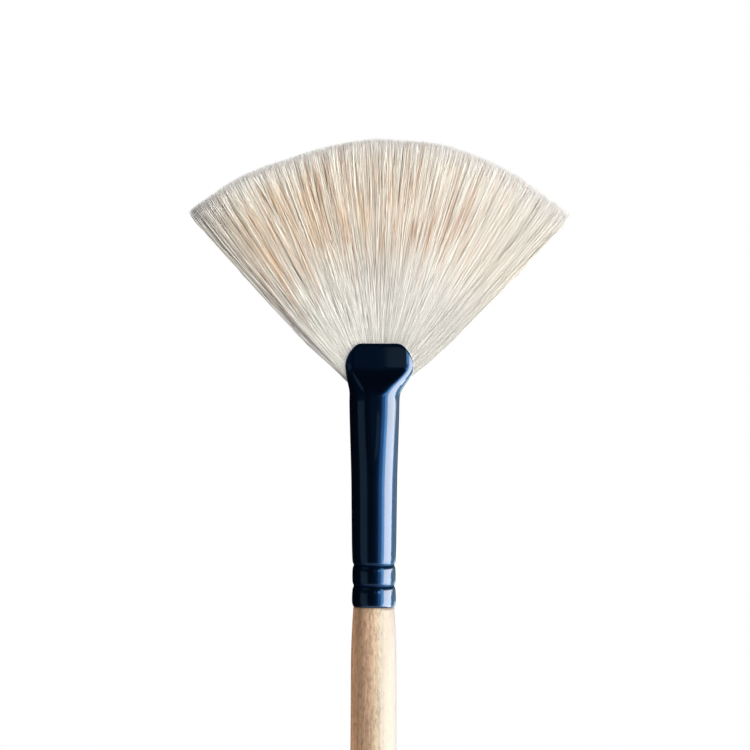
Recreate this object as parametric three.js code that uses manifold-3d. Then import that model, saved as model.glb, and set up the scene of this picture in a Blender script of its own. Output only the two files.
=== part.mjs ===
// Fan paint brush: a long turned wooden handle, a seamless metal ferrule that is round at the handle and
// pressed flat at its mouth, and a flat fan of hog bristle. Millimetres, +Z towards the bristle tips, the
// front of the fan facing -Y. The origin is on the handle's axis at its thickest place, where it is held.

import * as THREE from 'three';
import Module from 'manifold-3d';
import { mergeVertices } from 'three/addons/utils/BufferGeometryUtils.js';

const wasm = await Module();
wasm.setup();

// ---------------------------------------------------------------- driving dimensions

// Handle
const gripBelowFerrule = 68;      // from the ferrule's lower end down to the thickest place
const handleBelowFerrule = 235;   // visible length of the handle
const neckRadius = 3.08;          // where the handle meets the ferrule
const shoulderRise = 0.35;        // quick swelling just under the ferrule
const shoulderLength = 10;
const bellyRadius = 3.75;
const tailRadius = 2.05;
const taperBias = 0.85;           // under 1, the taper starts early
const tailRoundLength = 4.5;
const tailFlatRadius = 0.8;       // the little flat where the handle was parted off the lathe
const handleSides = 28;

// Tenon of the handle, inside the ferrule
const tenonLength = 15;
const glueFilm = 0.15;            // glue between tenon and ferrule, above the crimps
const glueCap = 0.3;              // glue over the end of the tenon
const bareTenonAboveCrimps = 1.4; // tenon left bare above the upper groove, under the glue

// Ferrule
const ferruleLength = 39.4;
const ferruleWall = 0.3;
const tubeRadius = 3.33;          // just above the crimps
const tubeTaper = 0.0105;         // growth of the radius per millimetre of height
const tubeFromHeight = 8;         // where that taper starts
const crimpHeights = [3.2, 6.3];  // the two rolled grooves
const crimpDepth = 0.11;
const crimpWidth = 0.3;
const crimpSteps = [-0.9, -0.45, -0.22, 0, 0.22, 0.45, 0.9];
const beadRise = 0.12;            // how far the tube also dips towards a groove, which makes the beads
const beadReach = 1.2;            // barrel-shaped, and over what height
const endCurl = 0.38;             // how far the lower edge curls in
const endCurlHeight = 1.2;
const endCurlSteps = [0, 0.05, 0.2, 0.5, 1];

// Pressed head of the ferrule, measured down from the mouth
const headHalfWidth = 5.42;
const headHalfThickness = 1.65;
const headStretch = 0.107;        // share by which the press stretches the tube's girth
const headOffset = 0.72;          // the press sits a little to the right of the tube's axis
const offsetLead = 0.5;           // how far below the flare that sideways step starts
const mouthFlatHalf = 2.8;        // the straight middle of the mouth
const shoulderWidth = 2.4;        // sideways, from there to where the rim turns down
const shoulderRoundness = 1.65;   // 2 would be a quarter of an ellipse, 1 a straight chamfer
const shoulderDrop = 3.45;        // from the mouth to where the rim turns down
const slotFootDrop = 5.6;         // from the mouth to the foot of the slot at each side
const slotTurn = Math.PI / 4;     // how far round the sides the slot cuts into the rim
const fullFlareDrop = 2.9;        // where the flare is at its widest
const flareDrop = 7.9;            // where the tube starts to flare
const swellDrop = 15;             // where the tube starts to widen before the flare
const tubeSwell = 0.17;
const lipInset = 0.1;             // how far the two lips are pinched in at the mouth
const lipHeight = 0.5;

// Fan of bristle
const hairLengthOut = 31.1;       // at the middle, from the mouth to the tips
const fanWidth = 57;              // from corner to corner
const fanCentreDrop = 10.6;       // the centre of the arc of tips, below the mouth
const sideBow = 1.2;              // how far the outermost bristles bow outwards
const fanTipHalfThickness = 1.0;
const fanSwell = 0.9;             // extra half thickness halfway up the fan
const tipRaggedness = 0.9;
const strandRows = 6;             // from the front to the back
const layerCount = 3;             // pieces that the rows are shared out over
const strandsPerRow = 50;
const strandRootRadius = 0.07;
const strandBodyRadius = 0.15;
const strandSides = 3;
const strandBends = [0.36, 0.72]; // where along its free length a bristle is thickest and bends
const strandRootShare = 0.75;     // how far up the pressed head a bristle's root sits in the resin
const innerRowsAngle = 0.68;      // where the outermost bristles leave the rim, seen from the fan's centre
const outerRowsAngle = 0.34;      // the same for the front and back rows, too many for the narrow slot

// Resin that holds the bristle, and the thread round its butt end
const resinDepth = 18.2;          // from the mouth to the butt ends
const splitDrop = 6.6;            // where the resin between the layers joins the plug below
const layerGap = 0.04;
const smallestFeature = 0.004;    // slivers thinner than this are left out where bristle meets resin
const threadRadius = 0.17;
const threadTurns = 5;
const threadPitch = 0.78;
const threadSides = 5;
const threadStepsPerTurn = 18;
const waistMargin = 0.6;          // plain resin above and below the thread

// Clearances between pieces that touch
const seat = 0.05;
const threadSeat = 0.14;
const lipClearance = 0.13;        // between the front and back rows and the lips

// Facets round the ferrule: steps in each quarter, crowded towards its sides
const quarterSteps = 9;
const sideCrowding = 1.35;

// ---------------------------------------------------------------- places that follow from them

const ferruleFoot = gripBelowFerrule;
const mouth = ferruleFoot + ferruleLength;
const tailEnd = ferruleFoot - handleBelowFerrule;
const headTop = ferruleLength;
const fullFlare = headTop - fullFlareDrop;
const flareFoot = headTop - flareDrop;
const swellFoot = headTop - swellDrop;
const splitHeight = headTop - splitDrop;

// ---------------------------------------------------------------- small helpers

const smooth = (from, to, value) => THREE.MathUtils.smoothstep(value, from, to);
const lerp = THREE.MathUtils.lerp;

// A number from 0 to 1 that looks random and is the same each time
const scatter = (index) => {
  const golden = 0.6180339887;
  return (index * golden * (1 + (index % 7))) % 1;
};

function geometryOf(positions, triangles) {
  const geometry = new THREE.BufferGeometry();
  geometry.setAttribute('position', new THREE.Float32BufferAttribute(positions, 3));
  geometry.setIndex(triangles);
  return geometry;
}

function solidOf(geometry) {
  const bare = geometry.clone();
  bare.deleteAttribute('normal');
  bare.deleteAttribute('uv');
  const merged = mergeVertices(bare, 1e-5);
  return new wasm.Manifold(new wasm.Mesh({
    numProp: 3,
    vertProperties: new Float32Array(merged.attributes.position.array),
    triVerts: new Uint32Array(merged.index.array),
  }));
}

function geometryOfSolid(solid) {
  const mesh = solid.getMesh();
  return geometryOf(Array.from(mesh.vertProperties), Array.from(mesh.triVerts));
}

function finish(colour, roughness, metalness = 0) {
  return new THREE.MeshStandardMaterial({ color: new THREE.Color(...colour), roughness, metalness });
}

function piece(name, geometry, material) {
  geometry.computeVertexNormals();
  const mesh = new THREE.Mesh(geometry, material);
  mesh.name = name;
  return mesh;
}

// The band of triangles between two loops, given by the indices of their first points
function bandTriangles(low, high, pointCount, facesIn = false) {
  const triangles = [];
  for (let i = 0; i < pointCount; i += 1) {
    const next = (i + 1) % pointCount;
    const [a, b, c, d] = [low + i, low + next, high + next, high + i];
    triangles.push(...(facesIn ? [a, c, b, a, d, c] : [a, b, c, a, c, d]));
  }
  return triangles;
}

function skinTriangles(loopCount, pointCount, first = 0, facesIn = false) {
  return Array.from({ length: loopCount - 1 }, (_, k) => {
    const low = first + k * pointCount;
    return bandTriangles(low, low + pointCount, pointCount, facesIn);
  }).flat();
}

// Closes a loop: each point on the back half is joined to its mirror on the front half
function capTriangles(start, pointCount, facesUp) {
  const at = (i) => start + (i % pointCount);
  const triangles = [];
  const add = (a, b, c) => triangles.push(...(facesUp ? [a, b, c] : [a, c, b]));
  for (let i = 0; i < pointCount / 2; i += 1) {
    const [near, far] = [pointCount - i, pointCount - i - 1];
    if (far !== i + 1) add(at(i), at(i + 1), at(far));
    if (i > 0) add(at(i), at(far), at(near));
  }
  return triangles;
}

function loftedSolid(loops) {
  const count = loops[0].length;
  const triangles = [
    ...skinTriangles(loops.length, count),
    ...capTriangles(0, count, false),
    ...capTriangles((loops.length - 1) * count, count, true),
  ];
  return geometryOf(loops.flat(2), triangles);
}

function loftedTube(outer, inner) {
  const count = outer[0].length;
  const [outerTop, innerFoot] = [(outer.length - 1) * count, outer.length * count];
  const innerTop = innerFoot + (inner.length - 1) * count;
  const triangles = [
    ...skinTriangles(outer.length, count),
    ...skinTriangles(inner.length, count, innerFoot, true),
    ...bandTriangles(outerTop, innerTop, count),
    ...bandTriangles(innerFoot, 0, count),
  ];
  return geometryOf([...outer, ...inner].flat(2), triangles);
}

// A turned piece from [radius, height] pairs that start and end on the axis, or that close on themselves
function turned(profile, sides) {
  const lathe = new THREE.LatheGeometry(profile.map(([r, z]) => new THREE.Vector2(r, z)), sides);
  return lathe.rotateX(Math.PI / 2);
}

// ---------------------------------------------------------------- the ferrule's form

// Heights are measured up from the ferrule's lower end. The tube's radius before it is pressed:
function plainRadius(height) {
  const grown = tubeRadius + tubeTaper * Math.max(0, height - tubeFromHeight);
  const intoCurl = THREE.MathUtils.clamp(1 - height / endCurlHeight, 0, 1);
  const curl = endCurl * (1 - Math.sqrt(1 - intoCurl ** 2));
  const dips = crimpHeights.map((at) => {
    const away = Math.abs(height - at);
    return crimpDepth * Math.exp(-((away / crimpWidth) ** 2)) + beadRise * Math.exp(-away / beadReach);
  });
  return grown - curl - dips.reduce((sum, dip) => sum + dip, 0);
}

// Half width of the tube, seen from the front
function halfWidth(height) {
  const before = plainRadius(height) + tubeSwell * smooth(swellFoot, flareFoot, height);
  return lerp(before, headHalfWidth, smooth(flareFoot, fullFlare, height));
}

// The girth hardly changes when a tube is pressed, so its thickness follows from its width:
// a flat-sided loop of half width a and half thickness b is 4(a - b) + 2 pi b round.
function halfThickness(height) {
  const stretch = 1 + headStretch * smooth(flareFoot, fullFlare, height);
  const girth = 2 * Math.PI * plainRadius(height) * stretch;
  const pressed = (girth - 4 * halfWidth(height)) / (2 * Math.PI - 4);
  return Math.max(headHalfThickness, pressed);
}

const axisShift = (height) => headOffset * smooth(flareFoot - offsetLead, headTop - shoulderDrop, height);

// The tube's own lines run up it, each at a share of the quarter girth from the side (0) to the middle (1).
// Where such a line passes a height: x, and the surface's direction there as [across, outwards].
function linePoint(share, height) {
  const [a, b] = [halfWidth(height), halfThickness(height)];
  const round = (Math.PI / 2) * b;
  const along = (round + a - b) * share;
  const turn = Math.min(along / b, Math.PI / 2);
  const x = along < round ? a - b + b * Math.cos(turn) : a - b - (along - round);
  return { x, height, turn, across: Math.cos(turn), outwards: Math.sin(turn) };
}

// Height at which a line ends: the mouth's straight middle, its round shoulders, and a slot down each side
function rimHeight(share) {
  const { x, turn } = linePoint(share, headTop);
  const beyondFlat = THREE.MathUtils.clamp((x - mouthFlatHalf) / shoulderWidth, 0, 1);
  const intoSlot = Math.cos((Math.PI / 2) * Math.min(turn / slotTurn, 1)) ** 2;
  const drop = shoulderDrop * (1 - (1 - beyondFlat ** shoulderRoundness) ** (1 / shoulderRoundness));
  return headTop - drop - (slotFootDrop - shoulderDrop) * intoSlot;
}

const lineShares = Array.from({ length: quarterSteps + 1 }, (_, i) => (i / quarterSteps) ** sideCrowding);
const quarterLoop = (height) => lineShares.map((share) => linePoint(share, height));

// Turns a quarter into a whole loop of points, drawn in from the outside by inset
function wholeLoop(quarter, inset, thicknessAt) {
  const corner = ({ x, height, across, outwards }, sideways, depthways) => {
    const depth = (thicknessAt(height) - inset) * outwards;
    return [sideways * (x - inset * across) + axisShift(height), depthways * depth, ferruleFoot + height];
  };
  const inner = quarter.slice(1, -1);
  return [
    corner(quarter[0], 1, 0),
    ...inner.map((q) => corner(q, 1, 1)),
    corner(quarter.at(-1), 0, 1),
    ...inner.toReversed().map((q) => corner(q, -1, 1)),
    corner(quarter[0], -1, 0),
    ...inner.map((q) => corner(q, -1, -1)),
    corner(quarter.at(-1), 0, -1),
    ...inner.toReversed().map((q) => corner(q, 1, -1)),
  ];
}

const levelLoop = (height, inset) => wholeLoop(quarterLoop(height), inset, halfThickness);

// How high up the pressed head a line is, from the level loop at the head's foot (0) to the rim (1)
const headHeight = (lineShare, share) => lerp(splitHeight, rimHeight(lineShare), share);
const headQuarter = (share) => lineShares.map((line) => linePoint(line, headHeight(line, share)));

// The lips are pinched in over the last of the height
const lipShare = 1 - lipHeight / splitDrop;
const pinch = (share) => lipInset * Math.max(0, (share - lipShare) / (1 - lipShare)) ** 2;

function headLoop(share, inset) {
  return wholeLoop(headQuarter(share), inset, (height) => halfThickness(height) - pinch(share));
}

const creaseShare = 1 - shoulderDrop / splitDrop;
const underLipShare = (1 + lipShare) / 2;
const facetShare = (creaseShare + lipShare) / 2;
const headShares = [
  0, creaseShare / 3, (2 * creaseShare) / 3, creaseShare, facetShare, lipShare, underLipShare, 1,
];

// Heights of the level loops, from the lower end to just under the pressed head
function tubeLevels() {
  const curl = endCurlSteps.map((step) => step * endCurlHeight);
  const crimps = crimpHeights.flatMap((at) => crimpSteps.map((step) => at + step));
  const bead = (crimpHeights[0] + crimpHeights[1]) / 2;
  const swell = [swellFoot, (swellFoot + flareFoot) / 2, flareFoot, (flareFoot + splitHeight) / 2];
  return [...curl, ...crimps, bead, tubeFromHeight, ...swell].toSorted((a, b) => a - b);
}

function ferruleLoops(inset) {
  return [
    ...tubeLevels().map((height) => levelLoop(height, inset)),
    ...headShares.map((share) => headLoop(share, inset)),
  ];
}

const ferruleGeometry = () => loftedTube(ferruleLoops(0), ferruleLoops(ferruleWall));

// ---------------------------------------------------------------- handle

// Radius at a distance below the ferrule: a quick shoulder, a long belly, and a slow taper to the tail
function handleRadius(below) {
  const shoulder = shoulderRise * (1 - (1 - Math.min(below / shoulderLength, 1)) ** 2);
  if (below <= gripBelowFerrule) {
    const share = Math.max(0, below - shoulderLength) / (gripBelowFerrule - shoulderLength);
    const swelling = Math.sin((Math.PI / 2) * share) ** 2;
    return neckRadius + shoulder + (bellyRadius - neckRadius - shoulderRise) * swelling;
  }
  const roundStart = handleBelowFerrule - tailRoundLength;
  const taper = Math.min((below - gripBelowFerrule) / (roundStart - gripBelowFerrule), 1);
  const slender = lerp(bellyRadius, tailRadius, (1 - Math.cos(Math.PI * taper ** taperBias)) / 2);
  const intoRound = Math.max(0, below - roundStart) / tailRoundLength;
  return lerp(tailFlatRadius, slender, Math.sqrt(1 - intoRound ** 2));
}

const tenonRadius = (height) => plainRadius(height) - ferruleWall - seat;
const glueFoot = crimpHeights.at(-1) + bareTenonAboveCrimps;
const gluedTenonRadius = (height) => tenonRadius(height) - glueFilm - seat;

function handleGeometry() {
  const bodySteps = 22;
  const tailSteps = 5;
  const roundStart = handleBelowFerrule - tailRoundLength;
  const profile = [[0, tailEnd], [tailFlatRadius, tailEnd]];
  for (let i = tailSteps - 1; i > 0; i -= 1) {
    const turn = (Math.PI / 2) * (i / tailSteps);
    const below = roundStart + tailRoundLength * Math.sin(turn);
    profile.push([handleRadius(below), ferruleFoot - below]);
  }
  for (let i = 0; i <= bodySteps; i += 1) {
    const below = lerp(roundStart, seat, Math.sin((Math.PI / 2) * (i / bodySteps)));
    profile.push([handleRadius(below), ferruleFoot - below]);
  }
  const tenonFoot = plainRadius(0) - ferruleWall - seat;
  profile.push([tenonFoot, ferruleFoot - seat]);
  profile.push([tenonFoot, ferruleFoot + endCurlHeight / 3]);
  profile.push([tenonRadius(endCurlHeight), ferruleFoot + endCurlHeight]);
  for (const at of crimpHeights) {
    for (const step of crimpSteps) profile.push([tenonRadius(at + step), ferruleFoot + at + step]);
  }
  profile.push([tenonRadius(glueFoot - seat), ferruleFoot + glueFoot - seat]);
  profile.push([gluedTenonRadius(glueFoot), ferruleFoot + glueFoot - seat]);
  profile.push([gluedTenonRadius(glueFoot), ferruleFoot + tenonLength]);
  profile.push([0, ferruleFoot + tenonLength]);
  return turned(profile, handleSides);
}

// Glue: a film round the upper part of the tenon and a cap over its end
function tenonGlueGeometry() {
  const [foot, top] = [ferruleFoot + glueFoot, ferruleFoot + tenonLength + seat];
  const inside = gluedTenonRadius(glueFoot) + seat;
  const profile = [
    [0, top],
    [inside, top],
    [inside, foot],
    [tenonRadius(glueFoot), foot],
    [tenonRadius(glueFoot), top + glueCap],
    [0, top + glueCap],
  ];
  return turned(profile, handleSides);
}

// ---------------------------------------------------------------- resin plug and binding thread

const cavityInset = ferruleWall + seat;
const mouthInset = cavityInset + seat;
const waistHeight = threadTurns * threadPitch + 2 * (threadRadius + seat);
const waistFoot = headTop - resinDepth + waistMargin;
const waistInset = cavityInset + 2 * threadRadius + threadSeat;

// The butt ends of the bristle, set solid in resin, with a waist where the thread binds them
function resinPlugGeometry() {
  const waistTop = waistFoot + waistHeight;
  const upper = tubeLevels().filter((height) => height > waistTop);
  return loftedSolid([
    levelLoop(headTop - resinDepth, cavityInset),
    levelLoop(waistFoot, cavityInset),
    levelLoop(waistFoot, waistInset),
    levelLoop(waistTop, waistInset),
    ...[waistTop, ...upper, splitHeight - seat].map((height) => levelLoop(height, cavityInset)),
  ]);
}

// The least distance from any point of the thread's surface to a point a turn further on
function leastGap(loops) {
  const distances = loops.slice(0, -threadStepsPerTurn).flatMap((loop, i) => {
    const nextTurn = loops[i + threadStepsPerTurn].map((point) => new THREE.Vector3(...point));
    return loop.flatMap((point) => nextTurn.map((other) => other.distanceTo(new THREE.Vector3(...point))));
  });
  return Math.min(...distances);
}

// The thread lies in the waist as one unbroken spiral
function bindingThreadGeometry() {
  const lie = plainRadius(waistFoot) - waistInset + threadSeat + threadRadius;
  const foot = ferruleFoot + waistFoot + seat + threadRadius;
  const steps = threadTurns * threadStepsPerTurn;
  const loops = Array.from({ length: steps + 1 }, (_, i) => {
    const turns = i / threadStepsPerTurn;
    return Array.from({ length: threadSides }, (_side, k) => {
      const around = (2 * Math.PI * k) / threadSides;
      const radius = lie - threadRadius * Math.cos(around);
      const angle = 2 * Math.PI * turns;
      const height = foot + threadPitch * turns + threadRadius * Math.sin(around);
      return [radius * Math.cos(angle), radius * Math.sin(angle), height];
    });
  });
  console.log(`binding thread: least gap between turns ${leastGap(loops).toFixed(2)} mm`);
  const fan = (start, flip) => Array.from({ length: threadSides - 2 }, (_, k) => (
    flip ? [start, start + k + 2, start + k + 1] : [start, start + k + 1, start + k + 2]
  )).flat();
  const triangles = [
    ...skinTriangles(loops.length, threadSides),
    ...fan(0, true),
    ...fan((loops.length - 1) * threadSides, false),
  ];
  return geometryOf(loops.flat(2), triangles);
}

// ---------------------------------------------------------------- bristle

const tipRadius = hairLengthOut + fanCentreDrop;
const fanHalfAngle = Math.asin(fanWidth / 2 / tipRadius);
const rootHalfThickness = headHalfThickness - lipInset - mouthInset - strandRootRadius - lipClearance;

// The line of the tube that meets the rim at an angle from the middle, seen from the fan's centre
function lineAtAngle(angle) {
  const halvings = 20;
  let [low, high] = [0, 1];
  for (let n = 0; n < halvings; n += 1) {
    const share = (low + high) / 2;
    const { x, height } = linePoint(share, rimHeight(share));
    const seen = Math.atan2(x, height - headTop + fanCentreDrop);
    [low, high] = seen > angle ? [share, high] : [low, share];
  }
  return low;
}

// The line under which a bristle is rooted. side runs from -1 to 1, layer from -1 in front to 1 behind.
function rootLine(side, layer) {
  const isInner = Math.abs(layer) < 1 / layerCount;
  return lineAtAngle(Math.abs(side) * (isInner ? innerRowsAngle : outerRowsAngle));
}

// Where a bristle's root is held in the resin, inside the head
function bristleRoot(side, layer) {
  const line = rootLine(side, layer);
  const { x, height, across, outwards } = linePoint(line, headHeight(line, strandRootShare));
  const inset = mouthInset + strandRootRadius;
  return new THREE.Vector3(
    Math.sign(side) * (x - inset * across) + axisShift(height),
    layer * rootHalfThickness * outwards,
    ferruleFoot + height,
  );
}

// Where a bristle leaves the mouth and where it ends, seen from the front
function bristleEnds(side, layer, length) {
  const line = rootLine(side, layer);
  const leaves = linePoint(line, rimHeight(line));
  const angle = side * fanHalfAngle;
  return {
    root: new THREE.Vector2(Math.sign(side) * leaves.x, leaves.height),
    rootDepth: rootHalfThickness * leaves.outwards,
    tip: new THREE.Vector2(length * Math.sin(angle), headTop - fanCentreDrop + length * Math.cos(angle)),
    outwards: new THREE.Vector2(Math.cos(angle), -Math.sin(angle)),
  };
}

// A point on a bristle: share runs from 0 at the mouth to 1 at the tip
function bristlePoint({ root, rootDepth, tip, outwards }, side, layer, share) {
  const bow = sideBow * side * Math.sin(Math.PI * share);
  const seen = root.clone().lerp(tip, share).addScaledVector(outwards, bow);
  const thickness = lerp(rootDepth, fanTipHalfThickness, share) + fanSwell * 4 * share * (1 - share);
  return new THREE.Vector3(seen.x + axisShift(seen.y), layer * thickness, ferruleFoot + seen.y);
}

// One bristle: sides narrow round a bent path, ending in a point
function strandGeometry(side, layer, length) {
  const ends = bristleEnds(side, layer, length);
  const stations = [
    [bristleRoot(side, layer), strandRootRadius],
    ...strandBends.map((share) => [bristlePoint(ends, side, layer, share), strandBodyRadius]),
  ];
  const tip = bristlePoint(ends, side, layer, 1);
  const loops = stations.map(([centre, radius]) => {
    const along = tip.clone().sub(centre).normalize();
    const across = new THREE.Vector3(0, 1, 0).cross(along).normalize();
    const outwards = along.clone().cross(across);
    return Array.from({ length: strandSides }, (_, k) => {
      const around = (2 * Math.PI * (k + 0.5)) / strandSides;
      return centre.clone()
        .addScaledVector(across, radius * Math.cos(around))
        .addScaledVector(outwards, radius * Math.sin(around))
        .toArray();
    });
  });
  const last = (loops.length - 1) * strandSides;
  const tipIndex = loops.length * strandSides;
  const triangles = skinTriangles(loops.length, strandSides);
  for (let k = 0; k < strandSides; k += 1) {
    triangles.push(last + k, last + ((k + 1) % strandSides), tipIndex);
  }
  for (let k = 1; k < strandSides - 1; k += 1) triangles.push(0, k + 1, k);
  return geometryOf([...loops.flat(2), ...tip.toArray()], triangles);
}

const rowsPerLayer = strandRows / layerCount;
const rowLayer = (row) => (2 * row) / (strandRows - 1) - 1;

// The resin in the mouth, up to just under the rim, between two depths
function mouthResin(front, back) {
  const filling = solidOf(loftedSolid(headShares.slice(0, -1).map((share) => headLoop(share, mouthInset))));
  const slab = new THREE.BoxGeometry(4 * headHalfWidth, back - front, 4 * splitDrop);
  slab.translate(0, (front + back) / 2, mouth);
  return filling.intersect(solidOf(slab));
}

// One layer of the fan: its rows of bristles, rooted in its own slice of resin
function bristleLayerGeometry(firstRow, lastRow) {
  const outside = headHalfThickness - ferruleWall;
  const cut = (row) => rowLayer(row - 0.5) * rootHalfThickness;
  const front = firstRow === 0 ? -outside : cut(firstRow) + layerGap / 2;
  const back = lastRow === strandRows - 1 ? outside : cut(lastRow + 1) - layerGap / 2;
  const parts = [mouthResin(front, back)];
  for (let row = firstRow; row <= lastRow; row += 1) {
    for (let column = 0; column < strandsPerRow; column += 1) {
      const stagger = (row - firstRow) / rowsPerLayer + firstRow / (rowsPerLayer * strandRows);
      const side = (2 * (column + stagger)) / (strandsPerRow - 1 / strandRows) - 1;
      const length = tipRadius - tipRaggedness * scatter(row * strandsPerRow + column);
      parts.push(solidOf(strandGeometry(Math.min(side, 1), rowLayer(row), length)));
    }
  }
  return geometryOfSolid(wasm.Manifold.union(parts).simplify(smallestFeature));
}

// ---------------------------------------------------------------- the brush

const paleWood = finish([0.80, 0.66, 0.50], 0.55);
const navyLacquer = finish([0.01, 0.03, 0.10], 0.18, 0.6);
const amberResin = finish([0.62, 0.45, 0.22], 0.3);
const linenThread = finish([0.85, 0.80, 0.68], 0.9);
const hogBristle = finish([0.88, 0.82, 0.72], 0.6);

const brush = new THREE.Group();
brush.add(
  piece('handle', handleGeometry(), paleWood),
  piece('tenon_glue', tenonGlueGeometry(), amberResin),
  piece('ferrule', ferruleGeometry(), navyLacquer),
  piece('resin_plug', resinPlugGeometry(), amberResin),
  piece('binding_thread', bindingThreadGeometry(), linenThread),
);

const layers = ['bristles_front', 'bristles_core', 'bristles_back'];
layers.forEach((name, n) => {
  const geometry = bristleLayerGeometry(n * rowsPerLayer, (n + 1) * rowsPerLayer - 1);
  brush.add(piece(name, geometry, hogBristle));
});

export default brush;
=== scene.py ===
"""Looks of a fan paint brush: a fan of hog bristle, a lacquered ferrule and a bare turned wooden handle.

Sizes are in millimetres until a mesh is made. On the ferrule, heights run up from its lower end.
"""

import math

import bpy
import numpy as np
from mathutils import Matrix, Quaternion, Vector

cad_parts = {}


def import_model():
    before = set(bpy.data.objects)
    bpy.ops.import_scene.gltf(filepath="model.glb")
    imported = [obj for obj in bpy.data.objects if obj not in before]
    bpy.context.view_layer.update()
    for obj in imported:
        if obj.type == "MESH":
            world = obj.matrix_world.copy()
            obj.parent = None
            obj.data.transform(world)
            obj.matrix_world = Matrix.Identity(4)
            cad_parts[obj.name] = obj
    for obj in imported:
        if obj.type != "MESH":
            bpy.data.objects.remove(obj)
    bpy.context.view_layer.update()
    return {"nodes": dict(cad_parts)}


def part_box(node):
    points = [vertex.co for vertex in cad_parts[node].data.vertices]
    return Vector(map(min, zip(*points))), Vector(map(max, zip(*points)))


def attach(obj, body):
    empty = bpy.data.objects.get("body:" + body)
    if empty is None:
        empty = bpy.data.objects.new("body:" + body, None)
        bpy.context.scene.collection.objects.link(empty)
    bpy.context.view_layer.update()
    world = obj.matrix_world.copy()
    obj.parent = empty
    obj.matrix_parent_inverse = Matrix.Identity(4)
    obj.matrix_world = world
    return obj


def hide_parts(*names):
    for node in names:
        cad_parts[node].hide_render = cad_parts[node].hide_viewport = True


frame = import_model()

MM = 0.001


# ------------------------------------------------------------------ sizes, in millimetres

FERRULE_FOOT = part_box("ferrule")[0].z / MM
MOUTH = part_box("ferrule")[1].z / MM
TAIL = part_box("handle")[0].z / MM
TENON_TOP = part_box("handle")[1].z / MM
FERRULE_LENGTH = MOUTH - FERRULE_FOOT

# The ferrule's metal and joints, its slightly tapered tube, the two rolled grooves and the curled foot.
WALL = 0.3
JOINT_GAP = 0.05
RESIN_INSET = WALL + 2 * JOINT_GAP
TUBE_RADIUS = 3.33
TUBE_TAPER = 0.0105
TUBE_FROM = 8.0
CRIMPS = (3.2, 6.3)
CRIMP_DEPTH = 0.12
CRIMP_WIDTH = 0.3
BEAD_RISE = 0.17
BEAD_REACH = 1.0
CURL = 0.38
CURL_HEIGHT = 1.2

# Its pressed head and mouth. A drop is measured down from the mouth.
HEAD_HALF_WIDTH = 5.42
HEAD_HALF_THICKNESS = 1.65
HEAD_STRETCH = 0.107
HEAD_OFFSET = 0.72
OFFSET_LEAD = 0.5
MOUTH_FLAT_HALF = 2.8
SHOULDER_WIDTH = 2.4
SHOULDER_ROUNDNESS = 1.65
SHOULDER_DROP = 3.45
SLOT_FOOT_DROP = 5.6
SLOT_TURN = math.pi / 4
FULL_FLARE_DROP = 2.9
FLARE_DROP = 7.9
SWELL_DROP = 22.0
HEAD_FOOT_DROP = 6.6
TUBE_SWELL = 0.20
LIP_INSET = 0.1
LIP_HEIGHT = 0.5
LIP_ROLL = 0.1
FOOT_ROLL = 0.04
CREASE_ROUNDING = 0.05

FULL_FLARE = FERRULE_LENGTH - FULL_FLARE_DROP
FLARE_FOOT = FERRULE_LENGTH - FLARE_DROP
SWELL_FOOT = FERRULE_LENGTH - SWELL_DROP
HEAD_FOOT = FERRULE_LENGTH - HEAD_FOOT_DROP

# The handle, measured down from the ferrule. Its thickest place, the grip, is at the frame's origin.
GRIP_BELOW = FERRULE_FOOT
HANDLE_BELOW = FERRULE_FOOT - TAIL
NECK_RADIUS = 3.08
SHOULDER_RISE = 0.35
SHOULDER_LENGTH = 10.0
BELLY_RADIUS = 3.75
TAIL_RADIUS = 2.05
TAPER_BIAS = 0.85
TAIL_ROUND = 4.5
TAIL_FLAT_RADIUS = 0.8

# The fan, whose bristles point away from a centre below the mouth. Its outermost roots are at these angles
# from the middle, left and right, in radians.
HAIR_OUT = 31.1
FAN_WIDTH = 57.0
FAN_CENTRE_DROP = 10.6
SIDE_BOW = 0.75
TIP_HALF_THICKNESS = 1.0
FAN_SWELL = 0.9
OUTERMOST_ROOT_ANGLES = (0.79, 0.70)
TIP_RADIUS = HAIR_OUT + FAN_CENTRE_DROP
FAN_HALF_ANGLE = math.asin(FAN_WIDTH / 2 / TIP_RADIUS)


# ------------------------------------------------------------------ meshes

def ramp(low, high, value):
    """0 below low, 1 above high, and 3t^2 - 2t^3 between them."""
    t = np.clip((value - low) / (high - low), 0, 1)
    return t * t * (3 - 2 * t)


def lerp(a, b, share):
    """a at share 0, b at share 1, and in a straight line between them."""
    return a + (b - a) * share


def new_piece(name, points_mm, corners, counts):
    """A mesh object from points in millimetres, all its faces' corners, and each face's corner count."""
    mesh = bpy.data.meshes.new(name)
    points = (np.asarray(points_mm, float) * MM).astype(np.float32)
    mesh.vertices.add(len(points))
    mesh.vertices.foreach_set("co", points.ravel())
    mesh.loops.add(len(corners))
    mesh.loops.foreach_set("vertex_index", np.asarray(corners, np.int32))
    mesh.polygons.add(len(counts))
    starts = np.concatenate([[0], np.cumsum(counts)[:-1]]).astype(np.int32)
    mesh.polygons.foreach_set("loop_start", starts)
    mesh.update(calc_edges=True)
    mesh.polygons.foreach_set("use_smooth", np.ones(len(counts), bool))
    piece = bpy.data.objects.new(name, mesh)
    bpy.context.scene.collection.objects.link(piece)
    return piece


def band_corners(rows, columns, wrap_rows):
    """Corners of the quads between the points of a grid whose columns close on themselves."""
    low = np.arange(rows if wrap_rows else rows - 1)[:, None] * columns
    high = (low + columns) % (rows * columns)
    here = np.arange(columns)[None, :]
    after = (here + 1) % columns
    return np.stack([low + here, low + after, high + after, high + here], axis=-1).reshape(-1, 4)


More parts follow.
